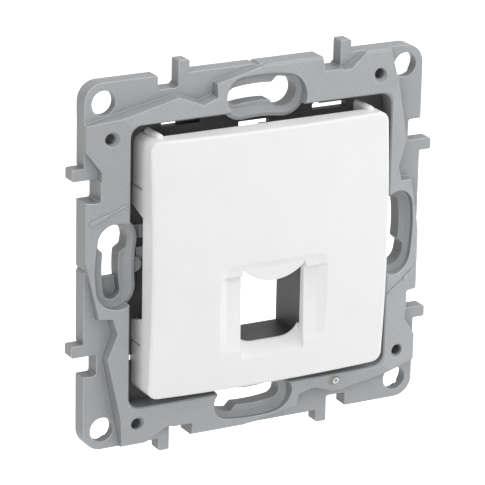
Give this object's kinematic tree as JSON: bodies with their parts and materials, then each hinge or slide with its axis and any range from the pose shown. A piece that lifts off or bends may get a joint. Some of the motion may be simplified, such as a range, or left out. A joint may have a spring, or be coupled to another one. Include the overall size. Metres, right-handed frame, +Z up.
{
  "type": "keystone faceplate",
  "caption": "Square wall socket insert for a keystone jack: a moulded mounting frame with bent keyhole slots, a carrier plate with a tunnel, and a bowed clip-on cover.",
  "frame": {"origin": "middle of the mounting frame, on the plane of the wall", "axes": "+Z up, +X to the right as seen from the room, +Y into the wall; the cover faces -Y"},
  "size_m": [0.076, 0.0128, 0.076],
  "materials": {
    "frame_grey": "mid grey moulded plastic, slightly glossy, with a fine mineral sparkle",
    "carrier_dark": "dark grey moulded plastic, satin",
    "cover_white": "white moulded plastic, semi-gloss"
  },
  "bodies": {
    "root": {"mounting_frame": "frame_grey", "keystone_carrier": "carrier_dark", "cover_plate": "cover_white"}
  },
  "joints": []
}
